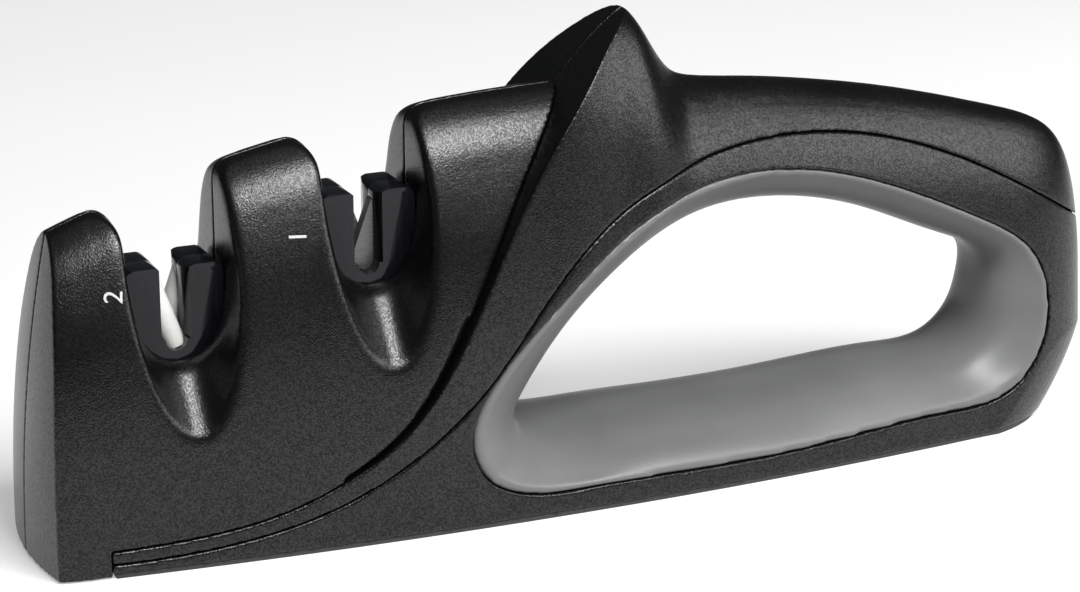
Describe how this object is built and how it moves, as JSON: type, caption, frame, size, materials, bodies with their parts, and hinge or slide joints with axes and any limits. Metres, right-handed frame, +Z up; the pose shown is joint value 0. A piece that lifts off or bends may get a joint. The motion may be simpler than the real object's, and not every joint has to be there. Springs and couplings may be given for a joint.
{
  "type": "manual knife sharpener",
  "caption": "Hand-held pull-through knife sharpener: towered head with fine and coarse notches, pointed guard fin and a closed handle lined with soft grey rubber.",
  "frame": {"origin": "on the table under the middle of the tool's length and width", "axes": "+X from the nose to the end of the handle, +Y from the pictured side to the far side, +Z up"},
  "size_m": [0.2066, 0.042, 0.0855],
  "materials": {
    "black_housing": "spark-textured black moulded plastic",
    "gloss_insert": "smooth glossy black moulded plastic",
    "grip_rubber": "satin grey soft-touch elastomer",
    "sole_rubber": "matte grey non-slip elastomer",
    "white_ceramic": "fine-grained white fired ceramic",
    "grey_carbide": "matte sintered carbide with ground edges",
    "screw_steel": "zinc-plated steel"
  },
  "bodies": {
    "root": {"head_shell_front": "black_housing", "head_shell_rear": "black_housing", "spine_shell_front": "black_housing", "spine_shell_rear": "black_housing", "base_shell_front": "black_housing", "base_shell_rear": "black_housing", "fine_insert_front": "gloss_insert", "fine_insert_rear": "gloss_insert", "coarse_insert_front": "gloss_insert", "coarse_insert_rear": "gloss_insert", "grip_ring": "grip_rubber", "sole_pad": "sole_rubber", "fine_rod_front": "white_ceramic", "fine_rod_rear": "white_ceramic", "coarse_blade_front": "grey_carbide", "coarse_blade_rear": "grey_carbide", "fine_insert_pin": "screw_steel", "coarse_insert_pin": "screw_steel", "head_screws": "screw_steel", "spine_screws": "screw_steel", "base_screws": "screw_steel"}
  },
  "joints": []
}
